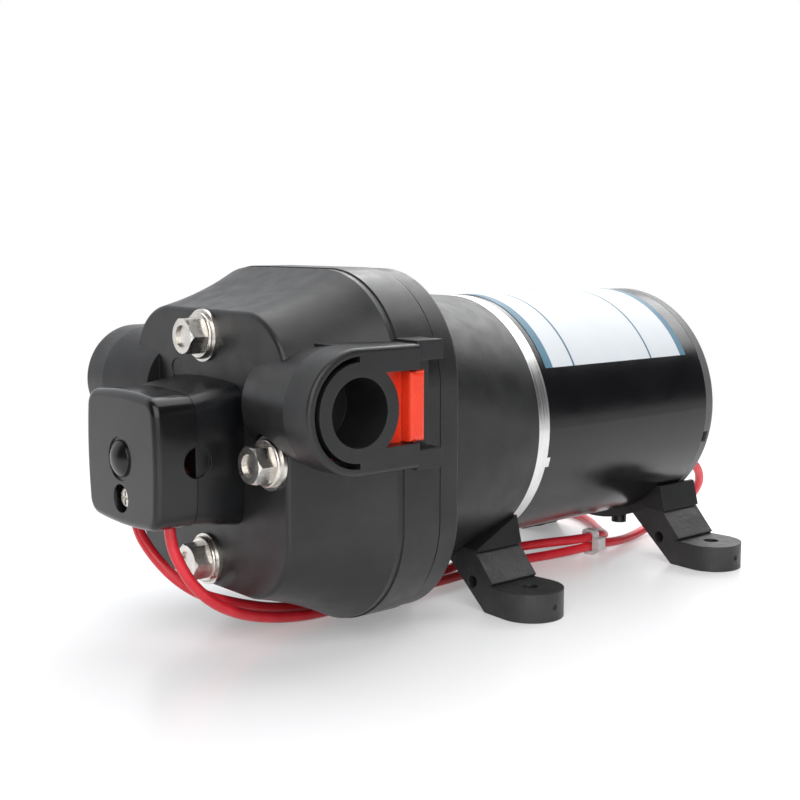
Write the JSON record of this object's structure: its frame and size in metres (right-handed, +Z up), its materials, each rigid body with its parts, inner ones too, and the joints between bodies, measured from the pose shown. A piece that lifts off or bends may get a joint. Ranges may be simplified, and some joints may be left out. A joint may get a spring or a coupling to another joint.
{
  "type": "caravan water pump",
  "caption": "Self-priming 12 V diaphragm water pump with pressure switch, quick-connect ports, wobble drive, can motor, four rubber feet and red flying leads.",
  "frame": {"origin": "centre of the four foot holes, on the surface that the feet stand on", "axes": "+Z up, +Y along the motor axis from the pump head to the motor, +X towards the outlet side"},
  "size_m": [0.1537, 0.2527, 0.1098],
  "materials": {
    "head_plastic": "satin moulded glass-filled nylon, charcoal black",
    "housing_plastic": "satin moulded nylon, black",
    "switch_plastic": "satin bluish black",
    "cap_plastic": "semi-gloss black",
    "clip_plastic": "gloss red-orange",
    "stainless": "bright stainless",
    "zinc_steel": "zinc plated",
    "spring_steel": "bright",
    "black_steel": "black oxide on steel",
    "ring_aluminium": "turned",
    "motor_paint": "gloss black",
    "cap_paint": "satin dark grey",
    "label_film": "white film with plain blue bands, no text",
    "foot_rubber": "matte black",
    "valve_rubber": "matte",
    "wire_red": "red PVC insulation",
    "copper": "bare and enamelled copper",
    "ferrite": "sintered ferrite",
    "core_steel": "laminated steel",
    "shaft_steel": "ground",
    "bearing_steel": "polished",
    "carbon": "carbon",
    "phenolic": "phenolic board",
    "acetal": "natural acetal",
    "tie_nylon": "natural translucent nylon"
  },
  "bodies": {
    "housing": {"head_cover": "head_plastic", "head_bolts": "stainless", "head_washers": "stainless", "switch_base": "switch_plastic", "switch_cap": "cap_plastic", "switch_cap_screw": "stainless", "switch_base_screws": "zinc_steel", "switch_diaphragm": "valve_rubber", "switch_spring": "spring_steel", "microswitch": "carbon", "valve_plate": "head_plastic", "inlet_valves": "valve_rubber", "outlet_valve": "valve_rubber", "diaphragm": "valve_rubber", "lower_housing": "housing_plastic", "housing_screws": "zinc_steel", "motor_front_plate": "ring_aluminium", "motor_tube": "motor_paint", "magnets": "ferrite", "motor_bearing_outers": "bearing_steel", "brushes": "carbon", "brush_holders": "zinc_steel", "brush_springs": "spring_steel", "brush_plate": "phenolic", "rear_end_cap": "cap_paint", "lead_grommets": "valve_rubber", "inner_leads": "wire_red", "through_bolts": "zinc_steel", "motor_label": "label_film", "rear_bracket": "housing_plastic", "bracket_screws": "black_steel", "foot_front_right": "foot_rubber", "foot_front_left": "foot_rubber", "foot_rear_right": "foot_rubber", "foot_rear_left": "foot_rubber", "motor_lead": "wire_red", "supply_lead": "wire_red", "supply_coil": "wire_red", "bare_end": "copper", "cable_ties": "tie_nylon"},
    "rotor": {"motor_shaft": "shaft_steel", "armature_core": "core_steel", "armature_windings": "copper", "commutator": "copper", "motor_bearing_inners": "bearing_steel", "motor_bearing_balls": "bearing_steel", "cam_hub": "zinc_steel", "cam_bearing_inner": "bearing_steel", "cam_bearing_balls": "bearing_steel"},
    "wobble": {"wobble_plate": "acetal", "cam_bearing_outer": "bearing_steel", "piston_caps": "acetal", "piston_screws": "stainless"},
    "inlet_clip": {"inlet_clip": "clip_plastic"},
    "outlet_clip": {"outlet_clip": "clip_plastic"},
    "switch_plunger": {"switch_plunger": "acetal", "microswitch_button": "acetal"},
    "adjuster": {"pressure_adjust_screw": "zinc_steel"},
    "switch_plug": {"switch_plug": "cap_plastic"}
  },
  "joints": [
    {"name": "motor_spin", "type": "hinge", "parent": "housing", "child": "rotor", "pos_m": [0, 0, 0.057], "axis": [0, 1, 0], "continuous": true},
    {"name": "wobble_nutation", "type": "hinge", "parent": "rotor", "child": "wobble", "pos_m": [0, -0.0954, 0.057], "axis": [0, 0.9976, 0.0698], "continuous": true, "deforming": ["diaphragm"]},
    {"name": "outlet_clip_slide", "type": "slide", "parent": "housing", "child": "outlet_clip", "axis": [0, 1, 0], "range_m": [0, 0.0055]},
    {"name": "inlet_clip_slide", "type": "slide", "parent": "housing", "child": "inlet_clip", "axis": [0, 1, 0], "range_m": [0, 0.0055]},
    {"name": "switch_plunger_slide", "type": "slide", "parent": "housing", "child": "switch_plunger", "axis": [0, -1, 0], "range_m": [0, 0.0008], "stiffness_N_per_m": 2000, "springref_m": -0.002, "deforming": ["switch_spring", "switch_diaphragm"]},
    {"name": "pressure_adjust_turn", "type": "hinge", "parent": "housing", "child": "adjuster", "pos_m": [0, -0.15, 0.057], "axis": [0, 1, 0], "range_deg": [-360, 360]},
    {"name": "switch_plug_pull", "type": "slide", "parent": "housing", "child": "switch_plug", "axis": [0, -1, 0], "range_m": [0, 0.008]}
  ],
  "couplings": [
    {"joint": "wobble_nutation", "follows": "motor_spin", "ratio": -1}
  ]
}
